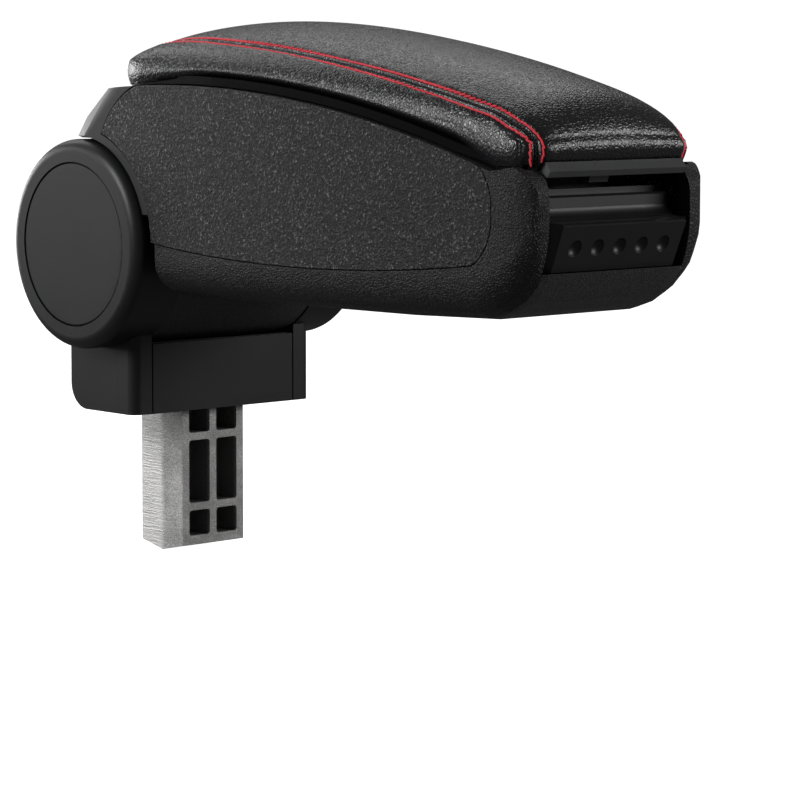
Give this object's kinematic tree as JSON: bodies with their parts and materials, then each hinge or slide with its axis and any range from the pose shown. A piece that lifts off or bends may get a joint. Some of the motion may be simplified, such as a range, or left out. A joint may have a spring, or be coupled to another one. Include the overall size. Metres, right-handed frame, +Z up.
{
  "type": "car centre armrest",
  "caption": "Car centre armrest: padded leather lid over a storage arm, tilting between round drums on a foot with a ribbed metal spigot.",
  "frame": {"origin": "centre of the foot's underside, where the spigot leaves it", "axes": "+X forward along the arm, +Y to the left, +Z up; the spigot points down along -Z"},
  "size_m": [0.3525, 0.1492, 0.2664],
  "materials": {
    "cast_metal": "rough die-cast with fine drag lines",
    "satin_plastic": "smooth satin black",
    "grained_plastic": "leather-like moulded grain",
    "pebbled_plastic": "matte pebbled grain, charcoal black",
    "leather": "semi-gloss black synthetic leather with red double stitching",
    "foam": "open-cell foam",
    "steel": "zinc plated",
    "bronze": "sintered bronze"
  },
  "bodies": {
    "foot": {"spigot": "cast_metal", "foot_housing": "satin_plastic", "foot_front_panel": "satin_plastic", "hinge_cap_left": "satin_plastic", "hinge_cap_right": "satin_plastic", "pivot_axle": "steel", "axle_nut": "steel", "spring_washers": "steel", "friction_washers": "bronze", "foot_screws": "steel"},
    "arm": {"arm_frame": "steel", "pivot_bushes": "bronze", "bottom_shell": "grained_plastic", "side_shell_left": "grained_plastic", "side_shell_right": "grained_plastic", "side_insert_left": "pebbled_plastic", "side_insert_right": "pebbled_plastic", "rear_cover": "satin_plastic", "storage_tub": "satin_plastic", "front_fascia": "satin_plastic", "frame_screws": "steel", "lid_hinge_pin": "steel"},
    "lid": {"lid_base": "satin_plastic", "cushion_foam": "foam", "cushion_cover": "leather", "latch_pin": "steel", "latch_spring": "steel"},
    "latch": {"latch_bar": "satin_plastic"}
  },
  "joints": [
    {"name": "tilt", "type": "hinge", "parent": "foot", "child": "arm", "pos_m": [0, 0, 0.0837], "axis": [0, -1, 0], "range_deg": [0, 90]},
    {"name": "lid_hinge", "type": "hinge", "parent": "arm", "child": "lid", "pos_m": [0.018, 0, 0.1603], "axis": [0, -1, 0], "range_deg": [0, 75]},
    {"name": "latch_pull", "type": "hinge", "parent": "lid", "child": "latch", "pos_m": [0.2905, 0, 0.1284], "axis": [0, -1, 0], "range_deg": [0, 10], "stiffness_Nm_per_rad": 0.15, "springref_deg": -5.73}
  ]
}
